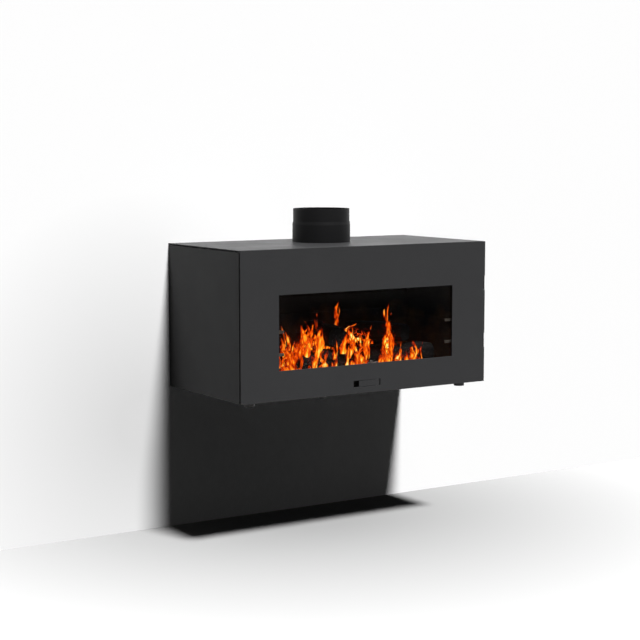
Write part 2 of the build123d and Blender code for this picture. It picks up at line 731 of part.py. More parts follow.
# Air supply: ports in the floor, a ported slide under them and its knob
slide_top = firebox_floor - slide_play
slide_y = (slot_y - slide_w / 2, slot_y + slide_w / 2)
slide_half = port_spots[-1][0] + port_l / 2 + slide_margin
with BuildPart() as air_slide:
    block((-slide_half, slide_half), slide_y, (slide_top - slide_t, slide_top))
    with BuildSketch(Plane.XY.offset(slide_top)):
        with Locations(*port_spots):
            Rectangle(port_l, port_w)
    extrude(amount=-slide_t, mode=Mode.SUBTRACT)
air_slide.part.label = "air_slide"
export_step(air_slide.part, "parts/air_slide.step")

with BuildPart() as air_slide_rails:
    for sign in (-1, 1):
        edge = slot_y + sign * (slide_w / 2 + slide_play)
        low = slide_top - slide_t - slide_play - rail_t
        run = (-slide_half - air_travel, slide_half + air_travel + 10)
        block(run, sorted((edge, edge + sign * rail_t)), (low, firebox_floor))
        block(run, sorted((edge - sign * rail_lip, edge + sign * rail_t)), (low, low + rail_t))
air_slide_rails.part.label = "air_slide_rails"
export_step(air_slide_rails.part, "parts/air_slide_rails.step")

with BuildPart() as air_knob:
    with BuildSketch(Plane.XY.offset(base_z - knob_gap)):
        with Locations((knob_x, slot_y)):
            Circle(knob_d / 2)
    extrude(amount=-knob_h)
    chamfer(air_knob.edges().filter_by(GeomType.CIRCLE), 1.0)
    with BuildSketch(Plane.XY.offset(base_z - knob_gap)):
        with Locations((knob_x, slot_y)):
            Circle(knob_stem_d / 2)
    extrude(amount=slide_top - slide_t - base_z + knob_gap)
air_knob.part.label = "air_knob"
export_step(air_knob.part, "parts/air_knob.step")

with BuildPart() as air_duct:
    duct_y = (mouth_back, hearth_y)
    block((-lining_out, lining_out), duct_y, (hearth_z - duct_h, hearth_z))
    block((-lining_out + duct_t, lining_out - duct_t), (duct_y[0] + duct_t, duct_y[1] - duct_t),
          (hearth_z - duct_h, hearth_z - duct_t), mode=Mode.SUBTRACT)
    with BuildSketch(Plane.XY.offset(hearth_z)):
        with Locations((0, (duct_y[0] + duct_y[1]) / 2)):
            with GridLocations(duct_hole_pitch, 1, duct_hole_count, 1):
                Circle(duct_hole_d / 2)
    extrude(amount=-duct_t, mode=Mode.SUBTRACT)
air_duct.part.label = "air_duct"
export_step(air_duct.part, "parts/air_duct.step")

with BuildPart() as air_inlet:
    with BuildSketch(Plane(origin=(0, 0, base_z + inlet_level), x_dir=(1, 0, 0), z_dir=(0, 0, 1))):
        inlet_r = inlet_d / 2
        flange_y = casing_back - sheet
        with BuildLine():
            Polyline((inlet_r - inlet_wall, flange_y - inlet_wall), (inlet_r + inlet_flange, flange_y - inlet_wall),
                     (inlet_r + inlet_flange, flange_y), (inlet_r + inlet_shoulder, flange_y),
                     (inlet_r + inlet_shoulder, casing_back), (inlet_r, casing_back + 2 * inlet_shoulder),
                     (inlet_r, wall_y), (inlet_r - inlet_wall, wall_y), close=True)
        make_face()
    revolve(axis=Axis((0, 0, base_z + inlet_level), (0, 1, 0)))
air_inlet.part.label = "air_inlet_spigot"
export_step(air_inlet.part, "parts/air_inlet_spigot.step")

# Wall rail and the hooks that hang on it
rail_z = base_z + wall_rail_level
shelf_z = rail_z + wall_rail_web
lip_top = shelf_z + wall_rail_lip
lip_y = (wall_y - wall_rail_out, wall_y - wall_rail_out + wall_rail_t)
with BuildPart() as wall_rail:
    block((-wall_rail_len / 2, wall_rail_len / 2), (wall_y - wall_rail_t, wall_y), (rail_z, shelf_z))
    block((-wall_rail_len / 2, wall_rail_len / 2), (lip_y[0], wall_y), (shelf_z - wall_rail_t, shelf_z))
    block((-wall_rail_len / 2, wall_rail_len / 2), lip_y, (shelf_z - wall_rail_t, lip_top))
    with BuildSketch(facing_front(wall_y)):
        with Locations((0, rail_z + (wall_rail_web - wall_rail_t) / 2)):
            with GridLocations(rail_hole_dx, rail_hole_dz, 2, 2):
                Circle(rail_hole_d / 2)
    extrude(amount=wall_rail_t, mode=Mode.SUBTRACT)
wall_rail.part.label = "wall_rail"
export_step(wall_rail.part, "parts/wall_rail.step")

with BuildPart() as hanging_hooks:
    for sign in (-1, 1):
        span = (sign * hook_x - hook_len / 2, sign * hook_x + hook_len / 2)
        hook_out = lip_y[1] + 1 + wall_rail_t
        block(span, (casing_back, casing_back + wall_rail_t), (shelf_z, lip_top + wall_rail_t))
        block(span, (casing_back, hook_out), (lip_top, lip_top + wall_rail_t))
        block(span, (hook_out - wall_rail_t, hook_out), (lip_top - hook_drop, lip_top + wall_rail_t))
hanging_hooks.part.label = "hanging_hooks"
export_step(hanging_hooks.part, "parts/hanging_hooks.step")

with BuildPart() as wall_spacers:
    with BuildSketch(facing_front(wall_y)):
        with Locations((-spacer_x, base_z + spacer_level), (spacer_x, base_z + spacer_level)):
            Circle(spacer_d / 2)
            Circle(spacer_hole_d / 2, mode=Mode.SUBTRACT)
    extrude(amount=back_recess)
wall_spacers.part.label = "wall_spacers"
export_step(wall_spacers.part, "parts/wall_spacers.step")

# Split logs: name, middle x and y, length, turn, half width, half height, layer
log_bed = 42.0  # half height of the logs that lie on the hearth
fire_y = (hearth_y + lining_y) / 2
logs = (
    ("log_front", -75.0, fire_y - 95.0, 330.0, 6.0, 46.0, log_bed, 0),
    ("log_right", 228.0, fire_y - 87.0, 250.0, -14.0, 40.0, log_bed, 0),
    ("log_back", 55.0, fire_y + 75.0, 470.0, -3.0, 52.0, log_bed, 0),
    ("log_upper_left", -35.0, fire_y - 9.0, 265.0, 78.0, 43.0, 40.0, 1),
    ("log_upper_right", 188.0, fire_y - 7.0, 250.0, 112.0, 38.0, 36.0, 1),
)
log_outline = ((-0.55, -1.0), (0.5, -1.0), (0.95, -0.5), (1.0, 0.25), (0.62, 0.9), (0.4, 1.0),
               (-0.45, 1.0), (-0.9, 0.55), (-1.0, -0.2), (-0.85, -0.7))
for name, x, y, length, turn, half_w, half_h, layer in logs:
    level = hearth_z + half_h + layer * 2 * log_bed
    along = (cos(radians(turn)), sin(radians(turn)), 0)
    across = (-sin(radians(turn)), cos(radians(turn)), 0)
    with BuildPart() as log:
        with BuildSketch(Plane(origin=(x, y, level), x_dir=across, z_dir=along)):
            with BuildLine():
                Polyline(*[(half_w * u, half_h * v) for u, v in log_outline], close=True)
            make_face()
        extrude(amount=length / 2, both=True)
    log.part.label = name
    export_step(log.part, f"parts/{name}.step")
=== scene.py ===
"""Looks of the wall-hung fireplace: painted steel, sooted lining, wood fire, glass and a white room."""
from math import cos, pi, radians, sin

import bmesh
import bpy
import numpy as np
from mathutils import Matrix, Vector


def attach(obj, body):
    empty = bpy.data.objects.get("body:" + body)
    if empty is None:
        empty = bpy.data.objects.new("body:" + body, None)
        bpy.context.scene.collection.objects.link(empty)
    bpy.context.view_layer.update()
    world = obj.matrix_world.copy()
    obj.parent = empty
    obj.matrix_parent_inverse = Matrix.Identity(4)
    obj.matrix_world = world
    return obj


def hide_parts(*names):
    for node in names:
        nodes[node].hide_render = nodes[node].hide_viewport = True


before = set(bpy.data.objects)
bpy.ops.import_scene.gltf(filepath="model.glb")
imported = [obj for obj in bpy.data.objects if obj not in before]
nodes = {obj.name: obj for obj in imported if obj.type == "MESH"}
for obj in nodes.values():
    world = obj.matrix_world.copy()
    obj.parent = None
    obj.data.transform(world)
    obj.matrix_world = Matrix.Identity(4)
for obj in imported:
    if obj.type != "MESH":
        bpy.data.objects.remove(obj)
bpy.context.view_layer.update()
mm = 0.001
window_z = 0.243  # height of the window's middle, in m
chance = np.random.default_rng(20)


# Nodes, materials and meshes
def colour(code):
    """sRGB hex to linear light: a channel up to 0.04045 is divided by 12.92, and a higher one is
    (c + 0.055) / 1.055 to the power 2.4."""
    srgb = np.array([int(code[i:i + 2], 16) for i in (1, 3, 5)]) / 255
    linear = np.where(srgb <= 0.04045, srgb / 12.92, ((srgb + 0.055) / 1.055) ** 2.4)
    return (*(float(c) for c in linear), 1.0)


def feed(tree, node, inputs):
    """Gives each of these sockets of a node its value, or the output that feeds it."""
    for key, value in inputs.items():
        if isinstance(value, bpy.types.NodeSocket):
            tree.links.new(value, node.inputs[key])
        else:
            node.inputs[key].default_value = value


def add(tree, kind, inputs=None, stops=None, **settings):
    """Adds one shader node. inputs gives each socket its value or the output that feeds it, settings
    are the node's own, and stops are the places and colours of a ramp."""
    made = tree.nodes.new("ShaderNode" + kind)
    for key, value in settings.items():
        setattr(made, key, value)
    if stops:
        ramp = made.color_ramp.elements
        while len(ramp) < len(stops):
            ramp.new(1.0)
        for element, (place, code) in zip(ramp, stops):
            element.position, element.color = place, colour(code)
    feed(tree, made, inputs or {})
    return made


def finish(name):
    """A new material, its tree and its surface shader."""
    made = bpy.data.materials.new(name)
    made.use_nodes = True
    return made, made.node_tree, made.node_tree.nodes["Principled BSDF"]


def dress(material, *names):
    """Puts a material on the CAD nodes with these names."""
    for name in names:
        for slot in nodes[name].material_slots:
            slot.material = material


def seen_part(tree):
    """An output that is 1 for what the camera, a reflection or the glass sees, and 0 for the rest."""
    path = add(tree, "LightPath").outputs
    direct = add(tree, "Math", {0: path["Is Camera Ray"], 1: path["Is Glossy Ray"]}, operation="MAXIMUM")
    return add(tree, "Math", {0: direct.outputs[0], 1: path["Is Transmission Ray"]},
               operation="MAXIMUM").outputs[0]


def face_outward(mesh, weld=0.0):
    """Turns the faces outward, after points nearer than weld have been joined."""
    shell = bmesh.new()
    shell.from_mesh(mesh)
    if weld:
        bmesh.ops.remove_doubles(shell, verts=shell.verts, dist=weld)
    bmesh.ops.recalc_face_normals(shell, faces=shell.faces)
    shell.to_mesh(mesh)
    shell.free()


def surface(name, points, material, body=None, around=False, ends=False, marks=None):
    """A mesh over K grids of R rows by C columns of points. Each face joins four neighbours; around also
    joins the last column to the first, and ends closes the first and last rows on their middles.
    marks are vectors kept at the points, for the material."""
    points = np.asarray(points, float)
    grids, rows, cols, _ = points.shape
    row, col = np.meshgrid(np.arange(rows - 1), np.arange(cols if around else cols - 1), indexing="ij")
    right = (col + 1) % cols
    below, above = row * cols, (row + 1) * cols
    quads = np.stack([below + col, below + right, above + right, above + col], -1)
    start = np.arange(grids) * rows * cols
    faces = (quads.reshape(1, -1, 4) + start[:, None, None]).reshape(-1, 4).tolist()
    corners = points.reshape(-1, 3)
    marks = {key: np.asarray(value, float).reshape(-1, 3) for key, value in (marks or {}).items()}
    if ends:
        ring = np.arange(cols)
        for edge in (0, rows - 1):
            middle = len(corners) + np.arange(grids)
            rim = start[:, None] + edge * cols + ring
            fan = np.stack([rim, np.roll(rim, -1, 1), np.broadcast_to(middle[:, None], rim.shape)], -1)
            faces += fan.reshape(-1, 3).tolist()
            corners = np.concatenate([corners, points[:, edge].mean(1)])
            for key in marks:
                kept = marks[key][:grids * rows * cols].reshape(grids, rows, cols, 3)[:, edge].mean(1)
                marks[key] = np.concatenate([marks[key], kept])
    mesh = bpy.data.meshes.new(name)
    mesh.from_pydata(corners.tolist(), [], faces)
    if ends:
        face_outward(mesh)
    for key, value in marks.items():
        mesh.attributes.new(key, "FLOAT_VECTOR", "POINT").data.foreach_set("vector", value.ravel())
    mesh.polygons.foreach_set("use_smooth", np.ones(len(mesh.polygons), bool))
    mesh.materials.append(material)
    piece = bpy.data.objects.new(name, mesh)
    bpy.context.scene.collection.objects.link(piece)
    if body:
        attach(piece, body)
    return piece


def rough_field(rows, cols, stretch, fall):
    """Random heights from -1 to 1 that repeat at the edges: the inverse Fourier transform of random phases.
    Their strength is the frequency to the power -fall, with the frequency along the rows times stretch."""
    along = np.fft.fftfreq(rows)[:, None] * rows * stretch
    across = np.fft.fftfreq(cols)[None] * cols
    strength = np.maximum(np.hypot(along, across), 1.0) ** -fall
    strength[0, 0] = 0.0
    heights = np.fft.ifft2(strength * np.exp(2j * pi * chance.random((rows, cols)))).real
    return heights / np.abs(heights).max()


# Camera: standing left of the fireplace, a little above it, with a short telephoto lens
camera = bpy.data.objects.new("camera", bpy.data.cameras.new("camera"))
bpy.context.scene.collection.objects.link(camera)
camera.location = (-2.9846, -4.5966, 0.8383)
camera.rotation_mode = "QUATERNION"
camera.rotation_quaternion = Vector((0.5368, 0.8368, -0.1079)).to_track_quat("-Z", "Y")
camera.data.lens = 87.98
camera.data.sensor_width = 36.0
bpy.context.scene.camera = camera
bpy.context.scene.view_settings.view_transform = "Standard"


# Paints
def paint(name, dark, light, patch, rough, shine, peel, peel_depth):
    """Sprayed or powder paint: soft patches of two shades, and the small waves that drying leaves.
    patch and peel are the widths of a patch and a wave, in mm."""
    made, tree, shader = finish(name)
    place = add(tree, "TexCoord").outputs["Object"]
    cloud = add(tree, "TexNoise", {"Vector": place, "Scale": 1000 / patch, "Detail": 4.0, "Roughness": 0.6})
    shade = add(tree, "Mix", {0: cloud.outputs[0], 6: colour(dark), 7: colour(light)}, data_type="RGBA")
    gloss = add(tree, "MapRange", {0: cloud.outputs[0], 1: 0.3, 2: 0.7, 3: rough + 0.04, 4: rough - 0.04})
    wave = add(tree, "TexNoise", {"Vector": place, "Scale": 1000 / peel, "Detail": 2.0})
    bump = add(tree, "Bump", {"Strength": 0.35, "Distance": peel_depth * mm, "Height": wave.outputs[0]})
    feed(tree, shader, {"Specular IOR Level": shine, "Base Color": shade.outputs[2],
                        "Roughness": gloss.outputs[0], "Normal": bump.outputs[0]})
    return made


# Satin powder coat on sheet steel: dark grey, with a soft sheen that brightens at a low angle.
# Its real waves are about 1 mm wide and are drawn 3 mm wide, to show.
satin_paint = paint("satin_powder_coat", "#2e2e2f", "#343435", 160, 0.4, 0.115, 3.0, 0.05)
# Matt stove paint, sprayed thin: black and dry, with brownish patches where heat has aged it.
heat_paint = paint("matt_stove_paint", "#0f0f0f", "#211d1a", 45, 0.62, 0.2, 1.6, 0.08)
# The same paint on the flue, which is not yet aged: an even soft black.
flue_paint = paint("matt_flue_paint", "#0a0a0b", "#101011", 70, 0.46, 0.12, 1.8, 0.06)
dress(satin_paint, "casing_left", "casing_right", "casing_top", "casing_bottom", "casing_back",
      "door_front_panel", "handle_lever", "hinge_leaves_casing", "hinge_leaves_door")
dress(heat_paint, "firebox_front_frame", "firebox_left", "firebox_right", "firebox_back", "firebox_roof",
      "firebox_floor", "firebox_stands", "back_ties", "door_frame", "handle_pocket", "air_duct",
      "air_inlet_spigot", "latch_keeper")
dress(flue_paint, "flue_spigot", "flue_collar")


# Bare metals
def rolled_metal(name, tint, smear, grain, rough):
    """Rolled or drawn metal: fine grain lines, drawn out along X, over cloudy spots. grain is the width of
    a line in mm, and smear the colour of the spots."""
    made, tree, shader = finish(name)
    place = add(tree, "TexCoord").outputs["Object"]
    drawn = add(tree, "Mapping", {"Vector": place, "Scale": (0.08, 1.0, 1.0)})
    line = add(tree, "TexNoise", {"Vector": drawn.outputs[0], "Scale": 1000 / grain, "Detail": 3.0})
    spot = add(tree, "TexVoronoi", {"Vector": place, "Scale": 140.0, "Randomness": 1.0})
    mottle = add(tree, "MapRange", {0: spot.outputs["Color"], 1: 0.0, 2: 1.0, 3: 0.0, 4: 0.5})
    shade = add(tree, "Mix", {0: mottle.outputs[0], 6: colour(tint), 7: colour(smear)}, data_type="RGBA")
    gloss = add(tree, "MapRange", {0: line.outputs[0], 1: 0.25, 2: 0.75, 3: rough - 0.1, 4: rough + 0.12})
    bump = add(tree, "Bump", {"Strength": 0.25, "Distance": 0.03 * mm, "Height": line.outputs[0]})
    feed(tree, shader, {"Metallic": 1.0, "Base Color": shade.outputs[2], "Roughness": gloss.outputs[0],
                        "Normal": bump.outputs[0]})
    return made


# Stainless steel by the fire: browned and dulled by heat, with fine drawn lines.
fired_steel = rolled_metal("heat_browned_stainless_steel", "#575048", "#2b2621", 0.8, 0.5)
# Stainless steel, drawn and left bare: warm bright grey with fine lines.
bright_steel = rolled_metal("drawn_stainless_steel", "#b9b4ab", "#8f877b", 0.8, 0.3)
# Zinc plate on mild steel: cooler and duller, with the faint grain of the plating.
zinc_steel = rolled_metal("zinc_plated_steel", "#9ea2a6", "#7b8083", 1.4, 0.42)
dress(fired_steel, "glass_clips", "glass_screws")
dress(bright_steel, "hinge_pins", "back_panel_screws", "handle_shaft")
dress(zinc_steel, "glass_retaining_strips", "drive_arm", "latch_bar", "latch_guides", "air_slide",
      "air_slide_rails", "wall_rail", "hanging_hooks", "wall_spacers")

# Black-oxided turned steel: the tool's rings round each foot and the knob catch the light.
black_turned, tree, shader = finish("black_oxide_turned_steel")
place = add(tree, "TexCoord").outputs["Object"]
quarter = add(tree, "VectorMath", {0: place}, operation="ABSOLUTE")
radius = add(tree, "VectorMath", {0: quarter.outputs[0], 1: (0.434, 0.19, 0.009)}, operation="DISTANCE")
ring = add(tree, "Math", {0: radius.outputs["Value"], 1: 2 * pi / (0.9 * mm)}, operation="MULTIPLY")
cut = add(tree, "Math", {0: ring.outputs[0]}, operation="SINE")
cloud = add(tree, "TexNoise", {"Vector": place, "Scale": 180.0, "Detail": 3.0})
shade = add(tree, "Mix", {0: cloud.outputs[0], 6: colour("#101011"), 7: colour("#232221")},
            data_type="RGBA")
gloss = add(tree, "MapRange", {0: cloud.outputs[0], 1: 0.3, 2: 0.7, 3: 0.34, 4: 0.5})
bump = add(tree, "Bump", {"Strength": 0.2, "Distance": 0.04 * mm, "Height": cut.outputs[0]})
feed(tree, shader, {"Metallic": 0.5, "Base Color": shade.outputs[2], "Roughness": gloss.outputs[0],
                    "Normal": bump.outputs[0]})
dress(black_turned, "feet", "air_knob")


# Fire chamber
def vermiculite(name, flake, gap, soot, clean_z, sooted_z):
    """Pressed vermiculite board: flakes 4 mm wide in two browns, under soot that thickens with height
    between the two given levels, in metres, and clouds over in patches 90 mm wide."""
    made, tree, shader = finish(name)
    place = add(tree, "TexCoord").outputs["Object"]
    flakes = add(tree, "TexVoronoi", {"Vector": place, "Scale": 250.0, "Randomness": 1.0})
    tone = add(tree, "MapRange", {0: flakes.outputs["Color"], 1: 0.1, 2: 0.9})
    board = add(tree, "Mix", {0: tone.outputs[0], 6: colour(gap), 7: colour(flake)}, data_type="RGBA")
    high = add(tree, "SeparateXYZ", {0: place})
    rise = add(tree, "MapRange", {0: high.outputs["Z"], 1: clean_z, 2: sooted_z, 3: -0.25, 4: 0.75})
    cloud = add(tree, "TexNoise", {"Vector": place, "Scale": 11.0, "Detail": 5.0, "Roughness": 0.65})
    thick = add(tree, "Math", {0: rise.outputs[0], 1: cloud.outputs[0]}, operation="ADD", use_clamp=True)
    shade = add(tree, "Mix", {0: thick.outputs[0], 6: board.outputs[2], 7: colour(soot)}, data_type="RGBA")
    grit = add(tree, "TexNoise", {"Vector": place, "Scale": 420.0, "Detail": 3.0})
    relief = add(tree, "Math", {0: flakes.outputs["Distance"], 1: grit.outputs[0]}, operation="ADD")
    bump = add(tree, "Bump", {"Strength": 0.6, "Distance": 0.4 * mm, "Height": relief.outputs[0]})
    feed(tree, shader, {"Roughness": 0.92, "Specular IOR Level": 0.1, "Base Color": shade.outputs[2],
                        "Normal": bump.outputs[0]})
    return made


# Vermiculite lining boards: brown where the fire has burnt them clean, velvety black above.
lining = vermiculite("sooted_vermiculite", "#7a5628", "#523716", "#0a0704", 0.10, 0.32)
# The hearth slabs of the same board: greyed by ash.
hearth = vermiculite("ash_grey_vermiculite", "#5b5046", "#3a342d", "#1a1715", 0.04, 0.12)
dress(lining, *[f"{side}_lining_{course}" for side in ("left", "right", "back")
                for course in ("lower", "middle", "upper")], "baffle_plate")
dress(hearth, "hearth_left", "hearth_right")

# Glass ceramic: clear and faintly grey, with the brown haze that smoke leaves towards its edges.
glass, tree, shader = finish("smoked_glass_ceramic")
place = add(tree, "TexCoord").outputs["Object"]
spread = add(tree, "VectorMath", {0: place, 1: (0.0, 0.0, window_z)}, operation="SUBTRACT")
offset = add(tree, "VectorMath", {0: spread.outputs[0]}, operation="ABSOLUTE")
axes = add(tree, "SeparateXYZ", {0: offset.outputs[0]})
side = add(tree, "MapRange", {0: axes.outputs["X"], 1: 0.27, 2: 0.37})
rim = add(tree, "MapRange", {0: axes.outputs["Z"], 1: 0.08, 2: 0.14})
near = add(tree, "Math", {0: side.outputs[0], 1: rim.outputs[0]}, operation="MAXIMUM")
smoke = add(tree, "TexNoise", {"Vector": place, "Scale": 14.0, "Detail": 5.0, "Distortion": 0.6})
haze = add(tree, "Math", {0: near.outputs[0], 1: smoke.outputs[0]}, operation="MULTIPLY")
shade = add(tree, "Mix", {0: haze.outputs[0], 6: colour("#0b0c0c"), 7: colour("#1e150c")}, data_type="RGBA")
veil = add(tree, "MapRange", {0: haze.outputs[0], 1: 0.0, 2: 0.8, 3: 0.05, 4: 0.22})
gloss = add(tree, "MapRange", {0: haze.outputs[0], 1: 0.0, 2: 0.8, 3: 0.04, 4: 0.3})
feed(tree, shader, {"IOR": 1.54, "Specular IOR Level": 0.15, "Base Color": shade.outputs[2],
                    "Roughness": gloss.outputs[0], "Alpha": veil.outputs[0]})
dress(glass, "door_glass")

# Braided glass-fibre rope: grey-black yarns, with painted shade that darkens the valleys between them.
rope_yarn, tree, shader = finish("braided_glass_fibre_rope")
braid = add(tree, "SeparateXYZ", {0: add(tree, "Attribute", attribute_name="braid").outputs["Vector"]})
place = add(tree, "TexCoord").outputs["Object"]
fluff = add(tree, "TexNoise", {"Vector": place, "Scale": 900.0, "Detail": 4.0})
# Painted shade: the colour runs from near black in the valleys between the yarns to grey on their crests.
valley_shade = add(tree, "Math", {0: braid.outputs["X"], 1: fluff.outputs[0]}, operation="MULTIPLY")
shade = add(tree, "Mix", {0: valley_shade.outputs[0], 6: colour("#121110"), 7: colour("#7a756c")}, data_type="RGBA")
bump = add(tree, "Bump", {"Strength": 0.5, "Distance": 0.2 * mm, "Height": fluff.outputs[0]})
feed(tree, shader, {"Roughness": 0.9, "Base Color": shade.outputs[2], "Normal": bump.outputs[0]})


def round_frame(half_w, half_h, corner, steps):
    """Points and outward directions, evenly spaced, round an upright rectangle with rounded corners:
    four quarter circles joined by straight runs, walked by length."""
    quarter = np.linspace(0, pi / 2, 12)
    turn = np.concatenate([quarter + k * pi / 2 for k in range(4)])
    corners = np.array([(1, 1), (-1, 1), (-1, -1), (1, -1)]) * (half_w - corner, half_h - corner)
    hub = np.repeat(corners, len(quarter), 0)
    out = np.stack([np.cos(turn), np.sin(turn)], -1)
    line = hub + corner * out
    line, out = np.concatenate([line, line[:1]]), np.concatenate([out, out[:1]])
    walked = np.concatenate([[0], np.cumsum(np.linalg.norm(np.diff(line, axis=0), axis=1))])
    at = np.linspace(0, walked[-1], steps, endpoint=False)
    place = np.stack([np.interp(at, walked, line[:, k]) for k in (0, 1)], -1)
    facing = np.stack([np.interp(at, walked, out[:, k]) for k in (0, 1)], -1)
    return at, place, facing / np.linalg.norm(facing, axis=1, keepdims=True)


def rope_seal():
    """A tube carried round the door frame. Its radius is 5 mm less a dip between two sets of yarns that
    wind opposite ways, once round in 24 mm: the dip is least where either sine is at its crest."""
    half_w, half_h, corner, steps = 393 * mm, 163 * mm, 16 * mm, 1500
    rope_y, full_radius, dip, one_wind = -0.222, 5.0, 0.9, 24 * mm
    at, place, facing = round_frame(half_w, half_h, corner, steps)
    turn = np.linspace(0, 2 * pi, 20, endpoint=False)
    wind = at[:, None] * 2 * pi / one_wind
    yarn = np.maximum(np.abs(np.sin(3 * turn + wind)), np.abs(np.sin(3 * turn - wind)))
    radius = (full_radius - dip * (1 - yarn)) * mm
    centre = np.stack([place[:, 0], np.full(len(at), rope_y), window_z + place[:, 1]], -1)
    out = np.stack([facing[:, 0], np.zeros(len(at)), facing[:, 1]], -1)
    points = (centre[:, None] + (radius * np.cos(turn))[..., None] * out[:, None]
              + (radius * np.sin(turn))[..., None] * np.array((0, 1, 0)))
    closed = np.concatenate([points, points[:1]])
    mark = np.repeat(yarn[..., None], 3, -1)
    piece = surface("braided_rope_seal", closed[None], rope_yarn, "door", around=True,
                    marks={"braid": np.concatenate([mark, mark[:1]])[None]})
    face_outward(piece.data, weld=0.01 * mm)
    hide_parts("door_rope_seal")


rope_seal()

# Woven glass-fibre tape: black, in a plain weave whose threads are drawn 2 mm wide.
tape_weave, tree, shader = finish("woven_glass_fibre_tape")
place = add(tree, "TexCoord").outputs["Object"]
warp = add(tree, "TexWave", {"Vector": place, "Scale": 80.0, "Distortion": 0.4}, bands_direction="X")
weft = add(tree, "TexWave", {"Vector": place, "Scale": 80.0, "Distortion": 0.4}, bands_direction="Z")
cross = add(tree, "Math", {0: warp.outputs["Fac"], 1: weft.outputs["Fac"]}, operation="MULTIPLY")
shade = add(tree, "Mix", {0: cross.outputs[0], 6: colour("#0b0b0b"), 7: colour("#34322f")},
            data_type="RGBA")
bump = add(tree, "Bump", {"Strength": 0.6, "Distance": 0.3 * mm, "Height": cross.outputs[0]})
feed(tree, shader, {"Roughness": 0.88, "Base Color": shade.outputs[2], "Normal": bump.outputs[0]})


def glass_tape():
    """A flat tape round the glass: its profile is a rounded rectangle 17 mm by 3 mm, and each of its points
    runs round a rectangle whose half sizes are the tape's middle line plus the point's own offset."""
    half_w, half_h, tape_y, side_steps, squareness = 366.5 * mm, 136.5 * mm, -0.2455, 60, 0.35
    turn = np.linspace(0, 2 * pi, 24, endpoint=False)
    flat = np.sign(np.cos(turn)) * np.abs(np.cos(turn)) ** squareness * 8.5 * mm
    thick = np.sign(np.sin(turn)) * np.abs(np.sin(turn)) ** squareness * 1.45 * mm
    run = np.linspace(-1, 1, side_steps)
    edge = np.ones(side_steps)
    unit_x = np.concatenate([run, edge, -run, -edge])[:, None]
    unit_z = np.concatenate([-edge, run, edge, -run])[:, None]
    depth = np.broadcast_to(tape_y + thick, (4 * side_steps, len(turn)))
    points = np.stack([unit_x * (half_w + flat), depth, window_z + unit_z * (half_h + flat)], -1)
    piece = surface("woven_glass_tape", np.concatenate([points, points[:1]])[None], tape_weave, "door",
                    around=True)
    face_outward(piece.data, weld=0.01 * mm)
    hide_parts("glass_seal")


glass_tape()

# Split hardwood, burning: bark and fibres charred black in a crackled crust, with ash on top and glowing
# cracks low down. The mark "grain" holds the place along, across and up the log; "burn" holds how much
# bark, char and glow there is.
burning_log, tree, shader = finish("burning_split_log")
grain = add(tree, "Attribute", attribute_name="grain").outputs["Vector"]
burn = add(tree, "SeparateXYZ", {0: add(tree, "Attribute", attribute_name="burn").outputs["Vector"]})
fibre_run = add(tree, "Mapping", {"Vector": grain, "Scale": (0.07, 1.0, 1.0)})
fibre = add(tree, "TexNoise", {"Vector": fibre_run.outputs[0], "Scale": 420.0, "Detail": 4.0})
bark_run = add(tree, "Mapping", {"Vector": grain, "Scale": (0.3, 1.0, 1.0)})
furrow = add(tree, "TexVoronoi", {"Vector": bark_run.outputs[0], "Scale": 95.0}, feature="DISTANCE_TO_EDGE")
crackle_run = add(tree, "Mapping", {"Vector": grain, "Scale": (0.6, 1.0, 1.0)})
crackle = add(tree, "TexVoronoi", {"Vector": crackle_run.outputs[0], "Scale": 72.0},
              feature="DISTANCE_TO_EDGE")
wood = add(tree, "Mix", {0: fibre.outputs[0], 6: colour("#2c1c10"), 7: colour("#6a4a2b")}, data_type="RGBA")
ridge = add(tree, "MapRange", {0: furrow.outputs["Distance"], 1: 0.0, 2: 0.25})
bark = add(tree, "Mix", {0: ridge.outputs[0], 6: colour("#120e0b"), 7: colour("#31271e")}, data_type="RGBA")
raw = add(tree, "Mix", {0: burn.outputs["X"], 6: wood.outputs[2], 7: bark.outputs[2]}, data_type="RGBA")
plate = add(tree, "MapRange", {0: crackle.outputs["Distance"], 1: 0.01, 2: 0.12})
char = add(tree, "Mix", {0: plate.outputs[0], 6: colour("#040303"), 7: colour("#131110")}, data_type="RGBA")
blot = add(tree, "TexNoise", {"Vector": grain, "Scale": 26.0, "Detail": 4.0})
charred = add(tree, "Math", {0: burn.outputs["Y"], 1: blot.outputs[0]}, operation="ADD")
charred_part = add(tree, "MapRange", {0: charred.outputs[0], 1: 0.8, 2: 1.1},
                   interpolation_type="SMOOTHSTEP")
crust = add(tree, "Mix", {0: charred_part.outputs[0], 6: raw.outputs[2], 7: char.outputs[2]},
            data_type="RGBA")
upward = add(tree, "SeparateXYZ", {0: add(tree, "NewGeometry").outputs["Normal"]})
dust = add(tree, "TexNoise", {"Vector": grain, "Scale": 130.0, "Detail": 5.0, "Roughness": 0.7})
settled = add(tree, "Math", {0: upward.outputs["Z"], 1: dust.outputs[0]}, operation="MULTIPLY")
ash_part = add(tree, "MapRange", {0: settled.outputs[0], 1: 0.46, 2: 0.72, 4: 0.38})
ashen = add(tree, "Mix", {0: ash_part.outputs[0], 6: crust.outputs[2], 7: colour("#625d57")},
            data_type="RGBA")
crack = add(tree, "MapRange", {0: crackle.outputs["Distance"], 1: 0.07, 2: 0.0},
            interpolation_type="SMOOTHSTEP")
alive = add(tree, "MapRange", {0: blot.outputs[0], 1: 0.46, 2: 0.64}, interpolation_type="SMOOTHSTEP")
live_crack = add(tree, "Math", {0: crack.outputs[0], 1: alive.outputs[0]}, operation="MULTIPLY")
glow = add(tree, "Math", {0: live_crack.outputs[0], 1: burn.outputs["Z"]}, operation="MULTIPLY")
ember = add(tree, "ValToRGB", {0: glow.outputs[0]},
            stops=[(0.0, "#000000"), (0.25, "#5a0a00"), (0.6, "#ff4a06"), (1.0, "#ffb648")])
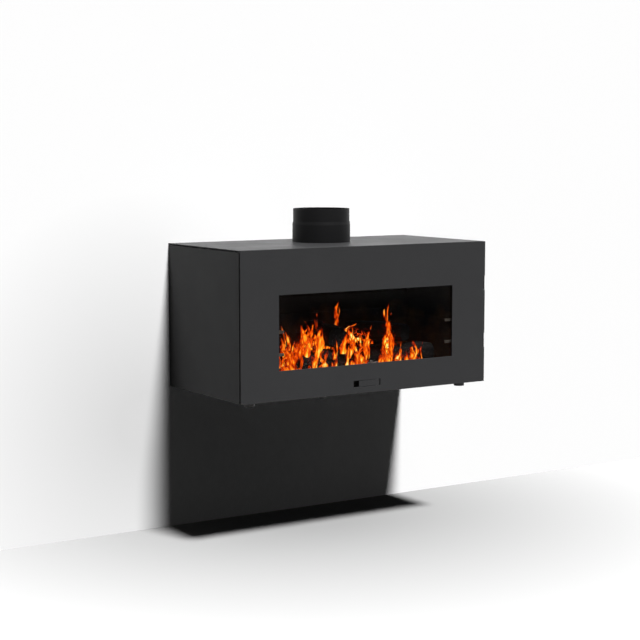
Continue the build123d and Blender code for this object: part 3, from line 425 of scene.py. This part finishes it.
height_a = add(tree, "Math", {0: furrow.outputs["Distance"], 1: burn.outputs["X"]}, operation="MULTIPLY")
height_b = add(tree, "Math", {0: plate.outputs[0], 1: 0.3, 2: height_a.outputs[0]},
               operation="MULTIPLY_ADD")
height_c = add(tree, "Math", {0: fibre.outputs[0], 1: 0.25, 2: height_b.outputs[0]},
               operation="MULTIPLY_ADD")
bump = add(tree, "Bump", {"Strength": 0.9, "Distance": 3 * mm, "Height": height_c.outputs[0]})
feed(tree, shader, {"Roughness": 0.9, "Specular IOR Level": 0.1, "Emission Strength": 1.6,
                    "Base Color": ashen.outputs[2], "Emission Color": ember.outputs["Color"],
                    "Normal": bump.outputs[0]})

log_outline = np.array(((-0.55, -1.0), (0.5, -1.0), (0.95, -0.5), (1.0, 0.25), (0.62, 0.9), (0.4, 1.0),
                        (-0.45, 1.0), (-0.9, 0.55), (-1.0, -0.2), (-0.85, -0.7), (-0.55, -1.0)))


def split_log(node, x, y, level, length, turn, half_w, half_h, bark_at, char_middle):
    """A split log. The outline is walked evenly, rounded by keeping its first 9 harmonics, and carried
    along the log. Furrows sink into it: deep on the bark side, shallow on the split side, drawn out
    along the log. The ends are ragged, burnt narrower, and drawn in over five rings to a blunt face."""
    rings, sides, harmonics = 170, 108, 9
    drawn_in = np.array((0.15, 0.4, 0.65, 0.85, 0.96))
    ends = len(drawn_in)
    walked = np.concatenate([[0], np.cumsum(np.linalg.norm(np.diff(log_outline, axis=0), axis=1))])
    at = np.linspace(0, walked[-1], sides, endpoint=False)
    loop = np.interp(at, walked, log_outline[:, 0]) + 1j * np.interp(at, walked, log_outline[:, 1])
    wave = np.fft.fft(loop)
    wave[harmonics + 1:-harmonics] = 0
    loop = np.fft.ifft(wave)
    loop = loop.real / np.abs(loop.real).max() + 1j * loop.imag / np.abs(loop.imag).max()
    angle = np.angle(loop)
    barked = np.clip(0.5 + 1.6 * np.cos(angle - radians(bark_at)), 0, 1)[None]
    furrows = rough_field(rings, sides, 3.5, 1.15)
    fibres = rough_field(rings, sides, 9.0, 1.0)
    lumps = rough_field(rings, sides, 1.0, 2.2)
    sunk = (3.2 + 3.2 * lumps + barked * (2.4 + 2.4 * furrows) + (1 - barked) * (0.8 + 0.8 * fibres)) * mm
    along = np.clip(np.linspace(-1, 1, rings) * (rings - 1) / (rings - 1 - 2 * ends), -1, 1)[:, None]
    face = np.concatenate([drawn_in, np.ones(rings - 2 * ends), drawn_in[::-1]])
    narrow = (1 - 0.1 * np.abs(along) ** 6) * face[:, None]
    across = loop.real * half_w * mm * narrow
    up = loop.imag * half_h * mm * narrow
    shrink = 1 - sunk / np.hypot(across, up) * face[:, None]
    across, up = across * shrink, up * shrink
    ragged = 1 - 0.02 * (1 + rough_field(1, sides, 1.0, 1.2)) * np.abs(along) ** 3
    run = along * ragged * length / 2 * mm
    way = np.array((cos(radians(turn)), sin(radians(turn)), 0))
    aside = np.array((-sin(radians(turn)), cos(radians(turn)), 0))
    points = (np.array((x, y, level)) * mm + run[..., None] * way + across[..., None] * aside
              + up[..., None] * np.array((0, 0, 1)))
    grain = np.stack([run + x * mm, across, up], -1)
    middle = np.exp(-((along - char_middle) / 0.8) ** 2)
    low = np.clip(0.75 - up / (half_h * mm), 0, 1)
    burn = np.stack([np.broadcast_to(barked, run.shape), 0.70 + 0.28 * middle + 0 * run,
                     low * middle * (1 - along ** 4) * np.clip(0.6 + lumps, 0, 1)], -1)
    piece = surface("burning_" + node, points[None], burning_log, "stove", around=True, ends=True,
                    marks={"grain": grain[None], "burn": burn[None]})
    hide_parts(node)


# Node, x, y, level, length, turn about Z, half width, half height, bark side, place of the char
split_log("log_front", -75.0, -112.0, 120.0, 330.0, 6.0, 46.0, 42.0, 150, -0.1)
split_log("log_right", 228.0, -104.0, 120.0, 250.0, -14.0, 40.0, 42.0, 35, -0.6)
split_log("log_back", 55.0, 58.0, 120.0, 470.0, -3.0, 52.0, 42.0, 100, 0.0)
split_log("log_upper_left", -35.0, -26.0, 202.0, 265.0, 78.0, 43.0, 40.0, 60, -0.2)
split_log("log_upper_right", 188.0, -24.0, 198.0, 250.0, 112.0, 38.0, 36.0, 120, 0.0)

# Wood ash: soft pale grey powder, darker where charcoal dust is mixed in.
ash, tree, shader = finish("wood_ash")
place = add(tree, "TexCoord").outputs["Object"]
heap = add(tree, "TexNoise", {"Vector": place, "Scale": 45.0, "Detail": 6.0, "Roughness": 0.7})
speck = add(tree, "TexVoronoi", {"Vector": place, "Scale": 330.0})
fleck = add(tree, "MapRange", {0: speck.outputs["Color"], 1: 0.55, 2: 0.8})
powder = add(tree, "Mix", {0: heap.outputs[0], 6: colour("#2a2624"), 7: colour("#8d867e")},
             data_type="RGBA")
shade = add(tree, "Mix", {0: fleck.outputs[0], 6: powder.outputs[2], 7: colour("#141211")},
            data_type="RGBA")
red = add(tree, "MapRange", {0: heap.outputs[0], 1: 0.5, 2: 0.36})
warm = add(tree, "ValToRGB", {0: red.outputs[0]},
           stops=[(0.0, "#000000"), (0.5, "#7a1400"), (1.0, "#ff5a0a")])
bump = add(tree, "Bump", {"Strength": 0.8, "Distance": 1.5 * mm, "Height": heap.outputs[0]})
feed(tree, shader, {"Roughness": 0.97, "Emission Strength": 1.2, "Base Color": shade.outputs[2],
                    "Emission Color": warm.outputs["Color"], "Normal": bump.outputs[0]})


def ash_bed():
    """A low heap on the hearth: rings of a squared circle, 300 mm by 145 mm in half size, with a height of
    up to 12 mm that falls to nothing at the rim, closed below by a flat underside."""
    rings, sides, middle_y, hearth_z, skirt = 40, 160, -0.022, 0.0783, 0.0003
    out = np.linspace(0.02, 1, rings)[:, None]
    turn = np.linspace(0, 2 * pi, sides, endpoint=False)[None]
    squared = (np.abs(np.cos(turn)) ** 4 + np.abs(np.sin(turn)) ** 4) ** -0.25
    rim = 1 + 0.06 * rough_field(rings, sides, 1.0, 1.6)[:1]
    x = out * squared * np.cos(turn) * rim * 0.300
    y = middle_y + out * squared * np.sin(turn) * rim * 0.145
    z = hearth_z + skirt + (1 - out ** 4) * (0.006 + 0.005 * rough_field(rings, sides, 1.0, 1.3))
    top = np.stack([x, y, z], -1)
    under = np.stack([x, y, np.full(x.shape, hearth_z)], -1)[::-1]
    surface("ash_bed", np.concatenate([top, under])[None], ash, "stove", around=True, ends=True)


ash_bed()

# Charcoal: broken black pieces, greyed by ash above and glowing orange in their cracks and undersides.
charcoal, tree, shader = finish("glowing_charcoal")
place = add(tree, "TexCoord").outputs["Object"]
heat = add(tree, "SeparateXYZ", {0: add(tree, "Attribute", attribute_name="heat").outputs["Vector"]})
crackle = add(tree, "TexVoronoi", {"Vector": place, "Scale": 150.0}, feature="DISTANCE_TO_EDGE")
patch = add(tree, "TexNoise", {"Vector": place, "Scale": 70.0, "Detail": 4.0})
upward = add(tree, "SeparateXYZ", {0: add(tree, "NewGeometry").outputs["Normal"]})
settled = add(tree, "Math", {0: upward.outputs["Z"], 1: patch.outputs[0]}, operation="MULTIPLY")
ash_part = add(tree, "MapRange", {0: settled.outputs[0], 1: 0.35, 2: 0.6, 4: 0.7})
shade = add(tree, "Mix", {0: ash_part.outputs[0], 6: colour("#0e0d0d"), 7: colour("#6b6661")},
            data_type="RGBA")
crack = add(tree, "MapRange", {0: crackle.outputs["Distance"], 1: 0.2, 2: 0.02})
hollow = add(tree, "MapRange", {0: upward.outputs["Z"], 1: 0.7, 2: -0.3})
spread = add(tree, "Math", {0: crack.outputs[0], 1: hollow.outputs[0]}, operation="ADD")
fired = add(tree, "Math", {0: spread.outputs[0], 1: heat.outputs["X"]}, operation="MULTIPLY")
fired_part = add(tree, "Math", {0: fired.outputs[0], 1: patch.outputs[0]}, operation="MULTIPLY")
ember = add(tree, "ValToRGB", {0: fired_part.outputs[0]},
            stops=[(0.05, "#000000"), (0.25, "#8a1600"), (0.5, "#ff5208"), (0.9, "#ffc35a")])
bump = add(tree, "Bump", {"Strength": 0.8, "Distance": 1.2 * mm, "Height": crackle.outputs["Distance"]})
feed(tree, shader, {"Roughness": 0.8, "Emission Strength": 2.2, "Base Color": shade.outputs[2],
                    "Emission Color": ember.outputs["Color"], "Normal": bump.outputs[0]})


def charcoal_pieces(count):
    """Broken lumps 12 to 34 mm across on the ash: a ball squared towards a block, dented by slow waves in
    its own direction, and turned about Z. They lie thickest round the logs."""
    rest_z = 0.0835
    polar, turn = np.linspace(0.05, pi - 0.05, 12)[:, None], np.linspace(0, 2 * pi, 18, endpoint=False)
    ball = np.stack([np.sin(polar) * np.cos(turn), np.sin(polar) * np.sin(turn),
                     np.cos(polar) * np.ones(len(turn))], -1)[None]
    block = ball / (np.abs(ball) ** 5).sum(-1, keepdims=True) ** (1 / 5)
    wave = chance.uniform(1.5, 4.0, (count, 1, 1, 3)) * ball
    dent = 1 - 0.16 * np.sin(wave.sum(-1, keepdims=True) * 2 + chance.uniform(0, 6, (count, 1, 1, 1)))
    size = chance.uniform(6, 17, (count, 1, 1, 1)) * mm
    lump = block * dent * size * chance.uniform((0.8, 0.6, 0.5), (1.3, 0.9, 0.8), (count, 3))[:, None, None]
    spin = chance.uniform(0, pi, (count, 1, 1))
    x = chance.triangular(-300, -30, 285, count) * mm
    y = chance.triangular(-172, -150, 110, count) * mm
    turned = np.stack([lump[..., 0] * np.cos(spin) - lump[..., 1] * np.sin(spin) + x[:, None, None],
                       lump[..., 0] * np.sin(spin) + lump[..., 1] * np.cos(spin) + y[:, None, None],
                       lump[..., 2]], -1)
    turned[..., 2] += rest_z - turned[..., 2].min((1, 2), keepdims=True)
    heat = np.broadcast_to(chance.uniform(0.3, 1.6, (count, 1, 1, 1)), turned.shape)
    surface("charcoal_pieces", turned, charcoal, "stove", around=True, ends=True, marks={"heat": heat})


charcoal_pieces(110)

# Burning wood gas: tongues with yellow cores, orange round them, and deep red where they thin out. The mark
# "tongue" holds the place across and up a tongue, and its own random number.
flame, tree, shader = finish("wood_flame")
tongue = add(tree, "Attribute", attribute_name="tongue").outputs["Vector"]
part = add(tree, "SeparateXYZ", {0: tongue})
place = add(tree, "TexCoord").outputs["Object"]
shift = add(tree, "CombineXYZ", {0: part.outputs["Z"], 1: part.outputs["Z"]})
moved = add(tree, "VectorMath", {0: place, 1: shift.outputs[0]}, operation="ADD")
streak_run = add(tree, "Mapping", {"Vector": moved.outputs[0], "Scale": (1.0, 1.0, 0.3)})
streak = add(tree, "TexNoise", {"Vector": streak_run.outputs[0], "Scale": 78.0, "Detail": 3.0,
                                "Distortion": 1.2})
swirl_run = add(tree, "Mapping", {"Vector": moved.outputs[0], "Scale": (1.0, 1.0, 0.5)})
swirl = add(tree, "TexNoise", {"Vector": swirl_run.outputs[0], "Scale": 27.0, "Detail": 2.0,
                               "Distortion": 1.4})
off_axis = add(tree, "Math", {0: part.outputs["X"]}, operation="ABSOLUTE")
edge = add(tree, "Math", {0: off_axis.outputs[0], 1: 1.6}, operation="POWER")
tip = add(tree, "Math", {0: part.outputs["Y"], 1: 1.7}, operation="POWER")
heat_a = add(tree, "Math", {0: edge.outputs[0], 1: -0.9, 2: -1.75}, operation="MULTIPLY_ADD")
heat_b = add(tree, "Math", {0: tip.outputs[0], 1: -0.62, 2: heat_a.outputs[0]}, operation="MULTIPLY_ADD")
heat_s = add(tree, "Math", {0: swirl.outputs[0], 1: 4.1, 2: heat_b.outputs[0]}, operation="MULTIPLY_ADD")
heat_c = add(tree, "Math", {0: streak.outputs[0], 1: 2.4, 2: heat_s.outputs[0]}, operation="MULTIPLY_ADD")
thin = add(tree, "MapRange", {0: heat_c.outputs[0], 1: 0.55, 2: 1.15}, interpolation_type="SMOOTHSTEP")
fire = add(tree, "MapRange", {0: heat_c.outputs[0], 1: 0.6, 2: 2.15})
blaze = add(tree, "ValToRGB", {0: fire.outputs[0]},
            stops=[(0.0, "#4a0600"), (0.24, "#a82400"), (0.48, "#e85206"), (0.68, "#ff9418"),
                   (0.84, "#ffc840"), (1.0, "#ffe48c")])
feed(tree, shader, {"Base Color": colour("#000000"), "Roughness": 1.0, "Specular IOR Level": 0.0,
                    "Emission Strength": 1.35, "Emission Color": blaze.outputs["Color"],
                    "Alpha": thin.outputs[0]})

# Foot of each main tongue (x, y, z), its height, half width, lean and curl, in mm
main_tongues = np.array((
    (-262, -164, 80, 96, 46, -8, 6), (-288, -168, 80, 62, 26, -6, 5), (-236, -156, 84, 172, 42, 24, 12),
    (-160, -150, 84, 206, 38, 26, 12), (-188, -146, 84, 186, 26, 30, -10), (-136, -166, 80, 98, 46, 6, 10),
    (-86, -168, 80, 66, 34, -4, 6), (-14, -60, 196, 116, 17, 20, 10), (8, -66, 184, 52, 15, 62, -12),
    (-6, -164, 82, 120, 32, 58, 14), (34, -158, 84, 150, 24, 46, 10), (22, -168, 80, 62, 38, 10, 6),
    (152, -140, 150, 160, 30, -2, 10), (144, -152, 82, 150, 40, 10, -8), (160, -146, 84, 190, 24, 14, 10),
    (106, -168, 80, 84, 32, 14, 8),
    (182, -164, 80, 92, 28, 12, 6), (210, -166, 80, 58, 26, 8, 5), (246, -156, 80, 92, 36, 14, 8),
    (284, -150, 80, 86, 26, 12, 7), (-220, -60, 90, 120, 40, 10, 10), (-130, -30, 100, 150, 44, 10, 12),
    (90, 0, 120, 110, 40, 12, 10), (230, -30, 90, 110, 34, 8, 9),
), float)


def flames(small):
    """Curved tapering tongues, each main one crossed by a second one, and small licks between them. The
    middle line leans and swings to a side with height; the half width opens from the foot and closes to a
    point as (v + 0.1)^0.4 (1 - v)^0.8; the sheet bulges by its half width times 0.5 (1 - u^2), and twists
    as it rises."""
    crossed = main_tongues * (1, 1, 1, 0.86, 0.6, 1, -1)
    licks = np.stack([chance.triangular(-290, -90, 290, small), chance.uniform(-168, 70, small),
                      chance.uniform(84, 150, small), chance.uniform(36, 100, small),
                      chance.uniform(9, 24, small), chance.uniform(-16, 26, small),
                      chance.uniform(-9, 9, small)], -1)
    yaw = np.concatenate([chance.uniform(-0.2, 0.7, len(main_tongues)),
                          chance.uniform(1.5, 2.3, len(crossed)), chance.uniform(-0.3, 1.2, small)])
    table = np.concatenate([main_tongues, crossed, licks])
    x, y, z, tall, wide, lean, curl = (table * mm).T[:, :, None, None]
    v = np.linspace(0, 1, 30)[None, :, None]
    u = np.linspace(-1, 1, 13)[None, None]
    phase = chance.uniform(0, 2 * pi, (len(table), 1, 1))
    spread = wide * 1.45 * (v + 0.1) ** 0.4 * (1 - v) ** 0.8
    sway = lean * v ** 1.3 + curl * np.sin(2.2 * pi * v + phase) * v ** 0.7
    turn = yaw[:, None, None] + 0.9 * v * np.sin(phase)
    bulge = 0.5 * (1 - u ** 2) * spread
    rag = 1 + 0.16 * np.sin(17 * v + 3 * phase)
    half = u * spread * rag
    points = np.stack([x + sway + np.cos(turn) * half + np.sin(turn) * bulge,
                       y + 0.4 * sway * np.cos(phase) + np.sin(turn) * half - np.cos(turn) * bulge,
                       z + tall * v + 0 * u], -1)
    mark = np.stack([u + 0 * points[..., 0], v + 0 * points[..., 0], phase + 0 * points[..., 0]], -1)
    surface("flames", points, flame, "stove", marks={"tongue": mark})


flames(64)

# Edges: sheet, bar and board have their sharp corners broken by the given radius, in mm
broken_edges = {
    0.3: ("handle_pocket",),
    0.4: ("handle_lever", "latch_bar"),
    0.5: ("door_front_panel", "casing_left", "casing_right", "casing_top", "casing_bottom", "door_frame",
          "wall_rail", "hanging_hooks"),
    1.0: ("hearth_left", "hearth_right", "baffle_plate"),
}
for radius, name in [(radius, name) for radius, names in broken_edges.items() for name in names]:
    weld = nodes[name].modifiers.new("join", "WELD")
    weld.merge_threshold = 0.002 * mm
    bevel = nodes[name].modifiers.new("edges", "BEVEL")
    bevel.width, bevel.segments = radius * mm, 2
    bevel.limit_method, bevel.angle_limit = "ANGLE", radians(40)
    bevel.harden_normals = True

# Room: a white wall behind the fireplace and a pale floor under it, both with painted shade towards the
# fireplace, and a light from the front, high up
wall_y, floor_z, room_side, room_front, room_top = 0.2505, -0.482, 7.0, -9.0, 6.0
hole_side, hole_low, hole_high = 0.485, 0.035, 0.500
room = {}
for name, middle, shaded_code, far_code, near_at, far_at in (
        ("wall", (-0.60, 0.25, -0.10), "#dcdcdc", "#fdfdfd", 0.1, 0.8),
        ("floor", (0.0, 0.25, floor_z), "#969696", "#d0d0d0", 0.3, 1.6)):
    # Flat emulsion paint without gloss, with painted shade: darker grey round a middle point by the
    # fireplace, on the wall beside and below it and on the floor by the wall, and whiter further off. Only
    # what the camera, a reflection or the glass sees is white, so that the room's own bounce stays weak and
    # the shadow deep. From behind it is clear.
    room[name], tree, shader = finish(f"white_{name}_paint")
    tree.nodes.remove(shader)
    place = add(tree, "TexCoord").outputs["Object"]
    # Painted shade: the colour is darkest at the middle point by the fireplace and goes to the far colour
    # with distance from it.
    reach = add(tree, "VectorMath", {0: place, 1: middle}, operation="DISTANCE")
    far = add(tree, "MapRange", {0: reach.outputs["Value"], 1: near_at, 2: far_at})
    white = add(tree, "Mix", {0: far.outputs[0], 6: colour(shaded_code), 7: colour(far_code)},
                data_type="RGBA")
    shown = add(tree, "Mix", {0: seen_part(tree), 6: colour("#1c1c1c"), 7: white.outputs[2]},
                data_type="RGBA")
    flat = add(tree, "BsdfDiffuse", {"Color": shown.outputs[2]})
    clear = add(tree, "BsdfTransparent")
    side = add(tree, "MixShader", {0: add(tree, "NewGeometry").outputs["Backfacing"], 1: flat.outputs[0],
                                   2: clear.outputs[0]})
    tree.links.new(side.outputs[0], tree.nodes["Material Output"].inputs["Surface"])

# The wall has a hole where the fireplace's back covers it, so that the back is lit and seen from behind
wall_x = np.array((-room_side, -hole_side, hole_side, room_side))
wall_z = np.array((floor_z, hole_low, hole_high, room_top))
wall_points = np.stack([np.tile(wall_x, 4), np.full(16, wall_y), np.repeat(wall_z, 4)], -1)
wall_faces = [(k, k + 1, k + 5, k + 4) for k in (0, 1, 2, 4, 6, 8, 9, 10)]
floor_points = [(-room_side, room_front, floor_z), (room_side, room_front, floor_z),
                (room_side, wall_y, floor_z), (-room_side, wall_y, floor_z)]
for name, points, faces in (("wall", wall_points.tolist(), wall_faces),
                            ("floor", floor_points, [(0, 1, 2, 3)])):
    mesh = bpy.data.meshes.new(name)
    mesh.from_pydata(points, [], faces)
    mesh.materials.append(room[name])
    plane = bpy.data.objects.new(name, mesh)
    bpy.context.scene.collection.objects.link(plane)

for name, strength, softness, toward in (("front_light", 6.2, 8.0, (-0.14, 1.0, -1.75)),
                                         ("back_light", 2.4, 30.0, (0.3, -1.0, -0.4))):
    lamp = bpy.data.objects.new(name, bpy.data.lights.new(name, "SUN"))
    lamp.data.energy, lamp.data.angle = strength, radians(softness)
    lamp.rotation_mode = "QUATERNION"
    lamp.rotation_quaternion = Vector(toward).to_track_quat("-Z", "Y")
    bpy.context.scene.collection.objects.link(lamp)

world = bpy.data.worlds.new("white_studio")
bpy.context.scene.world = world
world.use_nodes = True
tree = world.node_tree
level = add(tree, "MapRange", {0: seen_part(tree), 3: 0.035, 4: 1.0})
feed(tree, tree.nodes["Background"], {"Color": (1.0, 1.0, 1.0, 1.0), "Strength": level.outputs[0]})
